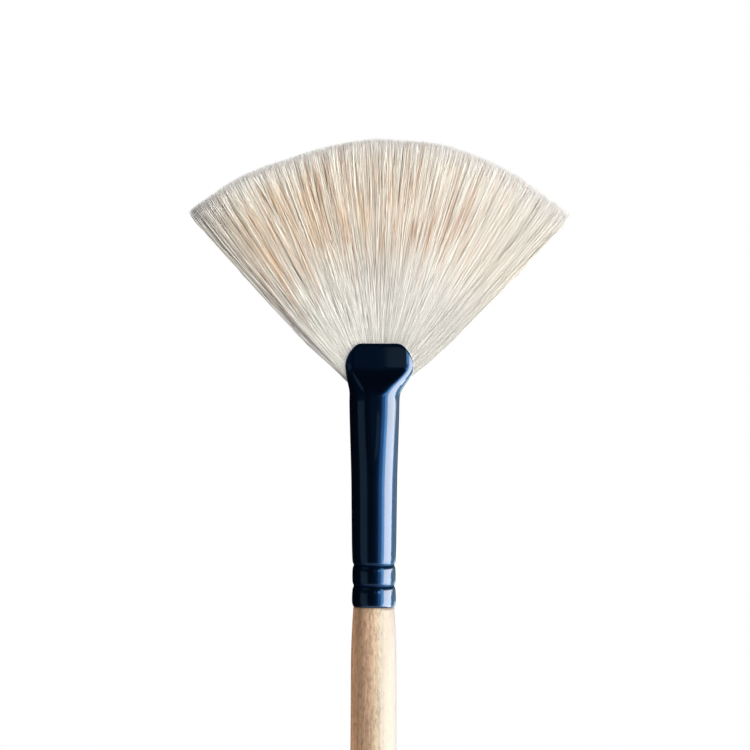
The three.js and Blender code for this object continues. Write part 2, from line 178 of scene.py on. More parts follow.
def closed_tube(name, loops):
    """A tube whose last loop joins its first: an outer skin that turns over its lips into an inner one."""
    rows, columns = loops.shape[:2]
    quads = band_corners(rows, columns, wrap_rows=True)
    return new_piece(name, loops.reshape(-1, 3), quads.ravel(), np.full(len(quads), 4))


def cap_quads(columns):
    """Strips over a loop that is a mirror image of itself: each point is joined to its mirror image."""
    near = np.arange(1, columns // 2 - 1)
    return np.stack([near, near + 1, columns - near - 1, columns - near], axis=-1)


def capped_tube(name, loops):
    """A skin over a list of loops, closed at each end by strips from side to side."""
    rows, columns = loops.shape[:2]
    quads = band_corners(rows, columns, wrap_rows=False)
    strips, top = cap_quads(columns), (rows - 1) * columns
    middle = columns // 2
    ends = np.array([[0, 1, columns - 1], [middle - 1, middle, middle + 1]])
    faces = (quads, strips[:, ::-1], top + strips, ends[:, ::-1], top + ends)
    corners = np.concatenate([face.ravel() for face in faces])
    counts = np.concatenate([np.full(len(face), face.shape[1]) for face in faces])
    return new_piece(name, loops.reshape(-1, 3), corners, counts)


# ------------------------------------------------------------------ ferrule

# Steps in a quarter of a loop, and loops in each stretch of the ferrule and of the resin in its mouth.
QUARTER_STEPS = 48
SIDE_CROWDING = 1.35
CURL_LOOPS = 16
GROOVED_LOOPS = 137
PLAIN_LOOPS = 12
SWELL_LOOPS = 24
FLARE_LOOPS = 12
HEAD_LOOPS = 64
LIP_LOOPS = 7
RESIN_QUARTER_STEPS = 24
RESIN_LOOPS = 12
RESIN_FILL = 0.94


def plain_radius(height):
    """The tube's radius before pressing: a slight taper, less two rolled grooves and a curled foot.

    At a distance d a groove takes off a sharp dip exp(-(d/w)^2) and a cusp exp(-|d|/reach), which leaves a
    barrel-shaped bead on both its sides. The foot curls in along a quarter of an ellipse.
    """
    grown = TUBE_RADIUS + TUBE_TAPER * np.maximum(0, height - TUBE_FROM)
    for at in CRIMPS:
        away = np.abs(height - at)
        dip = CRIMP_DEPTH * np.exp(-((away / CRIMP_WIDTH) ** 2))
        grown = grown - dip - BEAD_RISE * np.exp(-away / BEAD_REACH)
    into_curl = np.clip(1 - height / CURL_HEIGHT, 0, 1)
    return grown - CURL * (1 - np.sqrt(1 - into_curl**2))


def half_width(height):
    """Half the tube's width: it swells a little, then flares to the head, each as a smooth 3t^2 - 2t^3."""
    before = plain_radius(height) + TUBE_SWELL * ramp(SWELL_FOOT, FLARE_FOOT, height)
    return lerp(before, HEAD_HALF_WIDTH, ramp(FLARE_FOOT, FULL_FLARE, height))


def half_thickness(height):
    """Half thickness b of a flat-sided loop of half width a, from its girth 4(a - b) + 2 pi b.

    It runs smoothly into the head's half thickness h, as h + (s + sqrt(s^2 + r^2)) / 2 with s = b - h.
    """
    stretch = 1 + HEAD_STRETCH * ramp(FLARE_FOOT, FULL_FLARE, height)
    girth = 2 * math.pi * plain_radius(height) * stretch
    spare = (girth - 4 * half_width(height)) / (2 * math.pi - 4) - HEAD_HALF_THICKNESS
    return HEAD_HALF_THICKNESS + (spare + np.sqrt(spare**2 + CREASE_ROUNDING**2)) / 2


def axis_shift(height):
    """How far the head is pressed to the right of the tube's axis."""
    return HEAD_OFFSET * ramp(FLARE_FOOT - OFFSET_LEAD, FERRULE_LENGTH - SHOULDER_DROP, height)


def line_point(line, height):
    """Where a line of the tube passes a height: x, and the surface's turn from the side (0) to the front.

    Each line runs up the tube at its share of the quarter girth from the side (0) to the middle (1).
    """
    a, b = half_width(height), half_thickness(height)
    bend = math.pi / 2 * b
    along = (bend + a - b) * line
    turn = np.minimum(along / b, math.pi / 2)
    return a - b + np.where(along < bend, b * np.cos(turn), bend - along), turn


def rim_height(line):
    """Height at which a line ends: a straight middle, round shoulders, and a slot down each side.

    A shoulder is a quarter of |x|^n + |y|^n = 1, and a slot is a squared cosine of the surface's turn.
    """
    x, turn = line_point(line, np.full(np.shape(line), FERRULE_LENGTH))
    beyond_flat = np.clip((x - MOUTH_FLAT_HALF) / SHOULDER_WIDTH, 0, 1)
    into_slot = np.cos(math.pi / 2 * np.minimum(turn / SLOT_TURN, 1)) ** 2
    drop = SHOULDER_DROP * (1 - (1 - beyond_flat**SHOULDER_ROUNDNESS) ** (1 / SHOULDER_ROUNDNESS))
    return FERRULE_LENGTH - drop - (SLOT_FOOT_DROP - SHOULDER_DROP) * into_slot


def quarter_lines(steps):
    """Lines of one quarter of the tube, a little closer together at its side."""
    return np.linspace(0, 1, steps + 1) ** SIDE_CROWDING


def level_heights(heights, lines):
    """The same height on every line, for each of a list of heights."""
    return np.broadcast_to(np.asarray(heights)[:, None], (len(heights), len(lines)))


def head_heights(shares, lines):
    """Heights on the pressed head, from the level loop at its foot (0) to the rim (1)."""
    return lerp(HEAD_FOOT, rim_height(lines)[None, :], np.asarray(shares)[:, None])


def pinch(shares):
    """How far the lips are drawn in near the mouth."""
    lip_share = 1 - LIP_HEIGHT / HEAD_FOOT_DROP
    return LIP_INSET * np.clip((shares - lip_share) / (1 - lip_share), 0, 1)[:, None] ** 2


def whole_loops(lines, heights, inset, drawn_in=0.0):
    """Closed loops of points from one quarter's lines and heights, mirrored to the other three.

    They lie inset under the surface, and their front and back are drawn in besides.
    """
    x, turn = line_point(lines[None, :], heights)
    reach = x - inset * np.cos(turn)
    depth = (half_thickness(heights) - drawn_in - inset) * np.sin(turn)
    shift, up = axis_shift(heights), FERRULE_FOOT + heights

    def quarter(sideways, depthways, from_side):
        loop = np.stack([shift + sideways * reach, depthways * depth, up], axis=-1)
        return (loop if from_side else loop[:, ::-1])[:, :-1]

    quarters = [quarter(1, 1, True), quarter(-1, 1, False), quarter(-1, -1, True), quarter(1, -1, False)]
    return np.concatenate(quarters, axis=1)


def ferrule():
    """Loops up the outside, over the lip in a half circle, down the inside and round under the foot.

    The tube's loops are level. The head's run from its level foot to the rim, each at its share of the way.
    """
    lines = quarter_lines(QUARTER_STEPS)
    heights = np.concatenate([
        CURL_HEIGHT * (1 - np.cos(np.linspace(0, math.pi / 2, CURL_LOOPS))),
        np.linspace(CURL_HEIGHT, TUBE_FROM, GROOVED_LOOPS)[1:],
        np.linspace(TUBE_FROM, SWELL_FOOT, PLAIN_LOOPS)[1:],
        np.linspace(SWELL_FOOT, FLARE_FOOT, SWELL_LOOPS)[1:],
        np.linspace(FLARE_FOOT, HEAD_FOOT, FLARE_LOOPS)[1:-1],
    ])
    shares = np.linspace(0, 1, HEAD_LOOPS)
    tube, head = level_heights(heights, lines), head_heights(shares, lines)
    over = np.linspace(0, math.pi, LIP_LOOPS + 2)[1:-1]
    roll = WALL * (1 - np.cos(over)) / 2
    lip = head_heights(np.ones(len(over)), lines) + LIP_ROLL * np.sin(over)[:, None]
    foot = level_heights(np.zeros(len(over)), lines)
    underside = whole_loops(lines, foot, roll[::-1][:, None])
    underside[:, :, 2] = FERRULE_FOOT - FOOT_ROLL * np.sin(over)[::-1][:, None]
    loops = np.concatenate([
        whole_loops(lines, tube, 0.0),
        whole_loops(lines, head, 0.0, pinch(shares)),
        whole_loops(lines, lip, roll[:, None], LIP_INSET),
        whole_loops(lines, head, WALL, pinch(shares))[::-1],
        whole_loops(lines, tube, WALL)[::-1],
        underside,
    ])
    piece = closed_tube("lacquered_ferrule", loops)
    # How near each point is to a groove; the lacquer paints shade there.
    away = loops[:, :, 2, None] - FERRULE_FOOT - np.array(CRIMPS)
    add_value(piece, "groove", np.exp(-((away / CRIMP_WIDTH) ** 2)).sum(axis=-1))
    return piece


def mouth_resin():
    """Resin that holds the roots: the head's own loops, inside its wall, to a little under the rim."""
    lines, shares = quarter_lines(RESIN_QUARTER_STEPS), np.linspace(0, RESIN_FILL, RESIN_LOOPS)
    heights = head_heights(shares, lines)
    return capped_tube("mouth_resin", whole_loops(lines, heights, RESIN_INSET, pinch(shares)))


# ------------------------------------------------------------------ handle

# Sides of the handle, and loops in its neck, body and tail.
HANDLE_SIDES = 96
NECK_LENGTH = 12.0
NECK_LOOPS = 30
BODY_LOOPS = 150
TAIL_LOOPS = 14


def handle_radius(below):
    """Radius at a distance below the ferrule.

    It is a quick parabolic shoulder, a sine-squared belly, a half-cosine taper and a quarter-ellipse tail.
    """
    shoulder = SHOULDER_RISE * (1 - (1 - np.minimum(below / SHOULDER_LENGTH, 1)) ** 2)
    share = np.clip((below - SHOULDER_LENGTH) / (GRIP_BELOW - SHOULDER_LENGTH), 0, 1)
    swelling = np.sin(math.pi / 2 * share) ** 2
    upper = NECK_RADIUS + shoulder + (BELLY_RADIUS - NECK_RADIUS - SHOULDER_RISE) * swelling
    round_start = HANDLE_BELOW - TAIL_ROUND
    taper = np.clip((below - GRIP_BELOW) / (round_start - GRIP_BELOW), 0, 1) ** TAPER_BIAS
    slender = lerp(BELLY_RADIUS, TAIL_RADIUS, (1 - np.cos(math.pi * taper)) / 2)
    into_round = np.clip((below - round_start) / TAIL_ROUND, 0, 1)
    lower = lerp(TAIL_FLAT_RADIUS, slender, np.sqrt(1 - into_round**2))
    return np.where(below <= GRIP_BELOW, upper, lower)


def handle():
    """A profile turned about the brush's axis: parted-off tail, body, and a tenon inside the ferrule."""
    round_start = HANDLE_BELOW - TAIL_ROUND
    below = np.concatenate([
        round_start + TAIL_ROUND * np.sin(np.linspace(math.pi / 2, 0, TAIL_LOOPS)),
        np.linspace(round_start, NECK_LENGTH, BODY_LOOPS)[1:],
        np.linspace(NECK_LENGTH, JOINT_GAP, NECK_LOOPS)[1:],
    ])
    tenon_radius = (plain_radius(np.array([0.0, CRIMPS[1]])) - WALL - 2 * JOINT_GAP).min()
    radius = np.concatenate([handle_radius(below), [tenon_radius, tenon_radius]])
    up = np.concatenate([FERRULE_FOOT - below, [FERRULE_FOOT - JOINT_GAP, TENON_TOP]])
    turn = np.linspace(0, 2 * math.pi, HANDLE_SIDES, endpoint=False)
    loops = np.stack([
        radius[:, None] * np.cos(turn),
        radius[:, None] * np.sin(turn),
        np.broadcast_to(up[:, None], (len(up), HANDLE_SIDES)),
    ], axis=-1)
    return capped_tube("turned_handle", loops)


# ------------------------------------------------------------------ bristle

# Single bristles and their split ends, the flags.
HAIR_SIDES = 3
HAIR_STATIONS = 14
LAST_BEFORE_TIP = 0.955
HAIR_RADII = (0.045, 0.08)
ROOT_HALF_THICKNESS = HEAD_HALF_THICKNESS - LIP_INSET - RESIN_INSET
ROOT_SHARE = 0.75
OUTWARD_CROWDING = 1.8
CROSSING = 0.04
STRAY_CROSSING = 0.12
STRAY_SHARE = 0.12
TIP_SPLAY = 0.15
FLAG_START = 0.82
FLAG_STATIONS = 6
FLAG_RADII = (0.025, 0.045)

# The locks that they gather in, and the amber streaks and grey stripes of painted shade.
LOCK_SEED = 5
FINE_LOCKS = 120
FINE_PULL = 0.6
COARSE_LOCKS = 48
COARSE_PULL = 0.4
BELL_MIDDLES = ((0.25, 0.6), (0.6, 0.92))
BELL_WIDTHS = (0.05, 0.17)
BELL_SIZES = (0.0, 1.0)
STREAK_CELLS = 270
STREAK_STRENGTHS = (0.05, 0.9)
STREAK_MIDDLES = (0.42, 0.9)
STREAK_LENGTHS = (0.05, 0.18)
SHADE_STRIPES = 120
SHADE_STRIPE_SHARE = 0.6

# The trimmed edge: how far from the fan's centre the tips reach at a few angles from the middle, and how
# much shorter single bristles are.
TRIM_ANGLES = np.radians([-44, -38, -30, -20, -10, -1, 5, 12, 24, 38, 44])
TRIM_RADII = np.array([41.9, 41.6, 41.45, 40.85, 41.1, 41.5, 41.4, 41.75, 41.6, 41.3, 41.6])
RIGHT_SPREAD = 1.012
SHORTFALL_SHAPE = 0.9
SHORTFALL_SCALE = 0.32
SHORTFALL_LIMIT = 5.0
RIM_SAMPLES = 800


def line_at_angle(angle):
    """The line of the tube that meets the rim at an angle from the middle, seen from the fan's centre."""
    lines = np.linspace(1, 0, RIM_SAMPLES)
    height = rim_height(lines)
    seen = np.arctan2(line_point(lines, height)[0], height - FERRULE_LENGTH + FAN_CENTRE_DROP)
    return np.interp(angle, seen, lines)


def locks(rng, count, unevenness):
    """Edges of locks across the fan, from -1 to 1, with uneven widths."""
    widths = rng.uniform(1 - unevenness, 1 + unevenness, count)
    return np.concatenate([[0], np.cumsum(widths)]) / widths.sum() * 2 - 1


def gather_into(edges, side):
    """Each bristle's lock, its way to the lock's middle at the tips, and how near the lock's edge it is."""
    lock = np.clip(np.searchsorted(edges, side) - 1, 0, len(edges) - 2)
    middle, half = (edges[lock] + edges[lock + 1]) / 2, (edges[lock + 1] - edges[lock]) / 2
    way = (middle - side) * FAN_HALF_ANGLE * TIP_RADIUS
    return lock, way[:, None], (np.abs(side - middle) / half)[:, None]


def wander(rng, count, t, amplitude, slowest, fastest):
    """For each of count things a slow sine of its own along t, which fades to 0 at the root."""
    size = rng.normal(0, amplitude, (count, 1))
    phase = rng.uniform(0, 2 * math.pi, (count, 1))
    waves = rng.uniform(slowest, fastest, (count, 1))
    return size * np.sin(2 * math.pi * waves * t + phase) * ramp(0, 0.3, t)


def gathering(rng, count, t):
    """How strongly each lock draws its bristles in: two bells exp(-((t - middle) / width)^2) of its own."""
    drawn = 0
    for middles in BELL_MIDDLES:
        middle = rng.uniform(*middles, (count, 1))
        width = rng.uniform(*BELL_WIDTHS, (count, 1))
        size = rng.uniform(*BELL_SIZES, (count, 1))
        drawn = drawn + size * np.exp(-(((t - middle) / width) ** 2))
    return drawn * (1 - ramp(0.84, 0.98, t))


def streaks(rng, start_side, end_side, t):
    """How much painted amber shade bristles get where they pass narrow lens-shaped streaks, one in each of
    many uneven cells.

    A streak is a parabola across its cell times exp(-((t - middle) / length)^2), at a strength of its own.
    """
    edges = locks(rng, STREAK_CELLS, unevenness=0.8)
    strength = rng.uniform(*STREAK_STRENGTHS, STREAK_CELLS) ** 0.9
    middle = rng.uniform(*STREAK_MIDDLES, STREAK_CELLS)
    length = rng.uniform(*STREAK_LENGTHS, STREAK_CELLS)
    passing = lerp(start_side[:, None], end_side[:, None], t)
    cell = np.clip(np.searchsorted(edges, passing) - 1, 0, STREAK_CELLS - 1)
    across = (passing - edges[cell]) / (edges[cell + 1] - edges[cell]) * 2 - 1
    lens = (1 - across**2) * np.exp(-(((t - middle[cell]) / length[cell]) ** 2))
    return strength[cell] * lens * (1 - ramp(0.45, 0.9, passing)) * ramp(-1.0, -0.9, passing)


def fan_ends(rng, side):
    """Each bristle's line of the tube, and its side of the fan, angle and length at its tip.

    It ends a little to one side of where it started, so that bristles cross, and on the trimmed edge or
    short of it.
    """
    count = len(side)
    line = line_at_angle(np.abs(side) * np.where(side < 0, *OUTERMOST_ROOT_ANGLES))
    crossing = np.where(rng.uniform(0, 1, count) < STRAY_SHARE, STRAY_CROSSING, CROSSING)
    end_side = side + rng.normal(0, 1, count) * crossing
    end_side = np.where(np.abs(end_side) > 1, np.sign(end_side) * 2 - end_side, end_side)
    angle = end_side * np.where(end_side < 0, 1.0, RIGHT_SPREAD) * FAN_HALF_ANGLE
    shortfall = np.minimum(rng.gamma(SHORTFALL_SHAPE, SHORTFALL_SCALE, count), SHORTFALL_LIMIT)
    return line, end_side, angle, np.interp(angle, TRIM_ANGLES, TRIM_RADII) - shortfall


def departures(rng, layer, side, end_side, t):
    """How far bristles leave their straight way, sideways and in depth, and how near a gap they come.

    The fan's sides bow outwards by sin(pi t)^0.6. Fine and coarse locks draw bristles towards their middles
    over part of their length, and leave gaps between them. Locks and bristles also wander, and tips splay.
    The fan is calmer towards its right and inside.
    """
    count, shared = len(side), np.random.default_rng(LOCK_SEED)
    fine_edges = locks(shared, FINE_LOCKS, unevenness=0.6)
    coarse_edges = locks(shared, COARSE_LOCKS, unevenness=0.5)
    fine_lock, fine_way, fine_share = gather_into(fine_edges, end_side)
    coarse_lock, coarse_way, coarse_share = gather_into(coarse_edges, end_side)
    calm = (1 - 0.4 * ramp(-0.4, 0.0, end_side) - 0.54 * ramp(0.0, 0.55, end_side))[:, None]
    layer, end_side = np.abs(layer)[:, None], np.abs(end_side)[:, None]
    gathered = calm * ramp(0.72, 0.95, layer) * (1 - ramp(0.9, 1.0, end_side))
    loose = calm * (0.3 + 0.7 * ramp(0.5, 0.9, layer))

    fine_drawn = gathered * gathering(shared, FINE_LOCKS, t)[fine_lock]
    coarse_drawn = gathered * gathering(shared, COARSE_LOCKS, t)[coarse_lock]
    gap = np.minimum(fine_share**2 * fine_drawn + coarse_share**3 * coarse_drawn, 1)
    sideways = (
        SIDE_BOW * side[:, None] * np.sin(math.pi * t) ** 0.6
        + FINE_PULL * fine_way * fine_drawn
        + COARSE_PULL * coarse_way * coarse_drawn
        + loose * wander(shared, FINE_LOCKS, t, amplitude=0.10, slowest=0.6, fastest=1.6)[fine_lock]
        + loose * wander(shared, COARSE_LOCKS, t, amplitude=0.14, slowest=0.5, fastest=1.1)[coarse_lock]
        + wander(rng, count, t, amplitude=0.09, slowest=0.9, fastest=2.6)
        + rng.normal(0, TIP_SPLAY, (count, 1)) * ramp(FLAG_START, 1.0, t)
    )
    lift = (
        wander(shared, FINE_LOCKS, t, amplitude=0.10, slowest=0.3, fastest=0.9)[fine_lock]
        + wander(rng, count, t, amplitude=0.09, slowest=0.8, fastest=2.2)
    )
    return sideways, calm * lift, gap


def roots(line, layer, side):
    """Where whole bristles start, in the resin that fills the mouth."""
    up = lerp(HEAD_FOOT, rim_height(line), ROOT_SHARE)
    x, turn = line_point(line, up)
    x = np.sign(side) * (x - RESIN_INSET * np.cos(turn)) + axis_shift(up)
    return np.stack([x, layer * ROOT_HALF_THICKNESS * np.sin(turn), FERRULE_FOOT + up], -1)


def hair_lines(rng, layer, side, t):
    """Centre lines of bristles at the stations t from the rim (0) to the tips (1), with gaps and streaks.

    Each runs straight from the rim to an arc of tips about a centre below the mouth, but for its departures,
    through a fan that is thickest half way up. Bristles that start at t = 0 get one more point, their root.
    """
    t = t[None, :]
    line, end_side, angle, length = fan_ends(rng, side)
    sideways, lift, gap = departures(rng, layer, side, end_side, t)
    streak = streaks(np.random.default_rng(LOCK_SEED + 1), side, end_side, t)

    rim_up = rim_height(line)
    rim_x, rim_turn = line_point(line, rim_up)
    tip_x, tip_up = length * np.sin(angle), FERRULE_LENGTH - FAN_CENTRE_DROP + length * np.cos(angle)
    x = lerp((np.sign(side) * rim_x)[:, None], tip_x[:, None], t) + sideways * np.cos(angle)[:, None]
    up = lerp(rim_up[:, None], tip_up[:, None], t) - sideways * np.sin(angle)[:, None]
    thickness = lerp((ROOT_HALF_THICKNESS * np.sin(rim_turn))[:, None], TIP_HALF_THICKNESS, t)
    depth = layer[:, None] * (thickness + FAN_SWELL * 4 * t * (1 - t)) + lift
    points = np.stack([x + axis_shift(up), depth, FERRULE_FOOT + up], -1)
    if t[0, 0] == 0:
        points = np.concatenate([roots(line, layer, side)[:, None], points], axis=1)
        t, gap, streak = (np.concatenate([value[:, :1], value], axis=1) for value in (t, gap, streak))
    return points, t[0], gap, streak


def hair_radius(rng, count, t):
    """Bristles hold their thickness to most of their length and draw out to a fine tip."""
    body = rng.uniform(*HAIR_RADII, count)[:, None]
    return body * (1 - 0.2 * ramp(0.4, 0.9, t[None, :]) - 0.7 * ramp(0.94, 1.0, t[None, :]))


def flag_radius(rng, count, t):
    """The fine split ends of bristles draw out to a third of their thickness."""
    return rng.uniform(*FLAG_RADII, count)[:, None] * (1 - 0.7 * ramp(FLAG_START, 1.0, t[None, :]))


def crowded_outwards(rng, low, high, count):
    """Places through the fan's thickness between two layers, more of them near its front and back."""
    outer, inner = (low, high) if abs(low) > abs(high) else (high, low)
    crowding = OUTWARD_CROWDING if abs(outer) == 1 else 1.0
    return lerp(outer, inner, rng.uniform(0, 1, count) ** crowding)


def fan_piece(name, seed, low, high, count):
    """Whole bristles from the resin to their tips, in the layers between low and high."""
    rng = np.random.default_rng(seed)
    layer = crowded_outwards(rng, low, high, count)
    side = rng.uniform(-1, 1, count)
    t = np.append(np.linspace(0, LAST_BEFORE_TIP, HAIR_STATIONS - 1), 1)
    return hair_piece(name, rng, layer, side, t, hair_radius)


def flag_piece(name, seed, count):
    """Split ends that fill the fan out near its edge."""
    rng = np.random.default_rng(seed)
    layer, side = rng.uniform(-1, 1, count), rng.uniform(-1, 1, count)
    t = np.linspace(FLAG_START, 1, FLAG_STATIONS)
    return hair_piece(name, rng, layer, side, t, flag_radius)


def hair_piece(name, rng, layer, side, t, radius_of):
    """Bristles in one mesh, with the values that their colour follows."""
    line, t, gap, streak = hair_lines(rng, layer, side, t)
    piece = hair_skins(name, rng, line, radius_of(rng, len(side), t))
    add_colour_values(piece, rng, t, layer, side, gap, streak)
    return piece


def hair_skins(name, rng, line, radius):
    """Three-sided skins round bristles' centre lines, closed at both ends, each turned by its own angle."""
    count, stations = line.shape[:2]
    tangent = np.gradient(line, axis=1)
    tangent /= np.linalg.norm(tangent, axis=-1, keepdims=True)
    across = np.cross([0.0, 1.0, 0.0], tangent)
    across /= np.linalg.norm(across, axis=-1, keepdims=True)
    outwards = np.cross(tangent, across)
    around = 2 * math.pi * (np.arange(HAIR_SIDES) / HAIR_SIDES)
    turn = around[None, None, :, None] + rng.uniform(0, 2 * math.pi, count)[:, None, None, None]
    ring = across[:, :, None] * np.cos(turn) + outwards[:, :, None] * np.sin(turn)
    points = line[:, :, None] + radius[:, :, None, None] * ring

    per_hair = stations * HAIR_SIDES
    low = np.arange(count)[:, None, None, None] * per_hair
    low = low + np.arange(stations - 1)[None, :, None, None] * HAIR_SIDES
    high = low + HAIR_SIDES
    here = np.arange(HAIR_SIDES)[None, None, :, None]
    after = (here + 1) % HAIR_SIDES
    quads = np.concatenate([low + here, low + after, high + after, high + here], axis=-1)
    first = np.arange(count)[:, None] * per_hair
    foot = first + np.arange(HAIR_SIDES)[::-1]
    tip = first + (stations - 1) * HAIR_SIDES + np.arange(HAIR_SIDES)
    corners = np.concatenate([quads.ravel(), foot.ravel(), tip.ravel()])
    quad_count = count * (stations - 1) * HAIR_SIDES
    counts = np.concatenate([np.full(quad_count, 4), np.full(2 * count, HAIR_SIDES)])
    piece = new_piece(name, points.reshape(-1, 3), corners, counts)
    lay_out_strips(piece, count, stations)
    return piece


def add_value(piece, name, values):
    """A number of its own for each point, which the materials read."""
    attribute = piece.data.attributes.new(name, "FLOAT", "POINT")
    attribute.data.foreach_set("value", np.ascontiguousarray(values, np.float32).ravel())


def add_colour_values(piece, rng, t, layer, side, gap, streak):
    """What the bristles' colour follows, each value given per bristle, per station or both.

    along: the way from the rim (0) to the tip (1).
    tone: how light the bristle is, at random, with painted light: more even to the right and a little
    lighter to both sides.
    depth: how near the fan's outside it lies; inside, the bristles get tan painted shade.
    gap and streak: how much painted shade it gets as its line passes gaps and streaks, with the fan's inside
    right of the middle as half a gap.
    grey: painted shade in whole stripes of the left edge, less at their tips, and a fainter painted shade to
    the right and at the far left.
    """
    shape = (len(side), len(t), HAIR_SIDES)
    along = np.broadcast_to(t[None, :], shape[:2])
    # Painted light: bristles vary less at random towards the right, and are a little lighter towards both
    # sides.
    tone = rng.normal(0, 1, len(side)) * (1 - 0.35 * ramp(-0.3, 0.6, side))
    tone = tone + 0.5 * ramp(0.1, 0.6, np.abs(side))
    depth = np.maximum(np.abs(layer), ramp(0.8, 0.97, np.abs(side)))
    # Painted shade: inside the fan, right of the middle, counts as half a gap.
    inside = 0.5 * (1 - ramp(0.5, 0.85, np.abs(layer))) * ramp(0.0, 0.25, side) * (1 - ramp(0.55, 0.8, side))
    # Painted shade: grey stripes along the left edge, and fainter grey to the right and at the far left.
    # A little less than the whole count, so that the last index stays in range.
    stripe = ((side + 1) * (SHADE_STRIPES - 0.2) / 2).astype(int)
    striped = rng.uniform(0, 1, SHADE_STRIPES)[stripe] < SHADE_STRIPE_SHARE
    grey = (ramp(0.84, 0.95, -side) * striped)[:, None] * (1 - 0.5 * ramp(0.6, 1.0, along))
    faint = 0.07 * ramp(-0.4, 0.0, side) + 0.13 * ramp(0.5, 0.85, side) + 0.35 * ramp(0.9, 0.97, -side)
    for name, value in (
        ("along", along),
        ("tone", tone[:, None]),
        ("depth", depth[:, None]),
        ("gap", np.maximum(gap, inside[:, None])),
        ("streak", streak),
        ("grey", np.minimum(grey + faint[:, None], 1.0)),
    ):
        add_value(piece, name, np.broadcast_to(value[:, :, None], shape))


def lay_out_strips(piece, count, stations):
    """One small upright cell of the unit square for each bristle, so that its colour is baked along it."""
    columns = math.ceil(math.sqrt(count))
    rows = math.ceil(count / columns)
    margin = 0.12
    hair = np.arange(count)
    cell = np.stack([hair % columns, hair // columns], -1)[:, None, None, None, :]
    step = np.arange(HAIR_SIDES)[None, None, :, None]
    level = np.arange(stations - 1)[None, :, None, None]
    corner_step = np.array([0, 1, 1, 0])[None, None, None, :]
    corner_level = np.array([0, 0, 1, 1])[None, None, None, :]
    u = margin + (1 - 2 * margin) * (step + corner_step) / HAIR_SIDES
    v = margin + (1 - 2 * margin) * (level + corner_level) / (stations - 1)
    u, v = np.broadcast_arrays(u, v)
    within = np.broadcast_to(np.stack([u, v], -1), (count, stations - 1, HAIR_SIDES, 4, 2))
    sides = ((cell + within) / [columns, rows]).reshape(-1, 2)
    corner = np.array([[margin, 0], [1 - margin, 0], [0.5, 0]])
    feet = ((cell[:, 0, 0] + corner + [0, margin]) / [columns, rows]).reshape(-1, 2)
    tips = ((cell[:, 0, 0] + corner + [0, 1 - margin]) / [columns, rows]).reshape(-1, 2)
    layer = piece.data.uv_layers.new(name="OFBake")
    layer.data.foreach_set("uv", np.concatenate([sides, feet, tips]).astype(np.float32).ravel())


# ------------------------------------------------------------------ materials

def new_group(name, inputs, outputs):
    """An empty shader node group with named sockets; inputs are (name, type, default)."""
    group = bpy.data.node_groups.new(name, "ShaderNodeTree")
    for label, kind, default in inputs:
        socket = group.interface.new_socket(label, in_out="INPUT", socket_type=kind)
        socket.default_value = default
    for label, kind in outputs:
        group.interface.new_socket(label, in_out="OUTPUT", socket_type=kind)
    return group


class Nodes:
    """Short ways to add and join nodes in one tree."""

    def __init__(self, tree):
        self.tree = tree

    def add(self, kind, **settings):
        """A new node with its settings."""
        node = self.tree.nodes.new(kind)
        for key, value in settings.items():
            setattr(node, key, value)
        return node

    def join(self, source, target):
        """Joins an output to an input."""
        self.tree.links.new(source, target)

    def feed(self, node, **values):
        """Sets or joins a node's inputs by name; a socket is joined and anything else is set."""
        for key, value in values.items():
            socket = node.inputs[key.replace("_", " ")]
            if isinstance(value, bpy.types.NodeSocket):
                self.join(value, socket)
            else:
                socket.default_value = value
        return node

    def maths(self, operation, a, b=None):
        """The result of an operation on one or two numbers or outputs."""
        node = self.add("ShaderNodeMath", operation=operation)
        for socket, value in zip(node.inputs, (a, b)):
            if isinstance(value, bpy.types.NodeSocket):
                self.join(value, socket)
            elif value is not None:
                socket.default_value = value
        return node.outputs[0]

    def spread(self, value, from_low, from_high, to_low, to_high):
        """A value carried from one range to another, and held at its ends."""
        node = self.add("ShaderNodeMapRange")
        self.feed(node, Value=value, From_Min=from_low, From_Max=from_high, To_Min=to_low, To_Max=to_high)
        return node.outputs["Result"]

    def mix(self, share, a, b, blend="MIX"):
        """Colour a at share 0 and its blend with b at share 1."""
        node = self.add("ShaderNodeMix", data_type="RGBA", blend_type=blend, clamp_result=False)
        for index, value in ((0, share), (6, a), (7, b)):
            if isinstance(value, bpy.types.NodeSocket):
                self.join(value, node.inputs[index])
            else:
                node.inputs[index].default_value = value
        return node.outputs[2]

    def stops(self, value, *places):
        """A colour that runs through the given (position, colour) pairs."""
        node = self.add("ShaderNodeValToRGB")
        self.join(value, node.inputs[0])
        elements = node.color_ramp.elements
        elements[0].position, elements[0].color = places[0]
        elements[1].position, elements[1].color = places[-1]
        for position, colour in places[1:-1]:
            elements.new(position).color = colour
        return node.outputs[0]

    def value_of(self, name):
        """A value that the mesh carries at its points."""
        return self.add("ShaderNodeAttribute", attribute_name=name).outputs["Fac"]


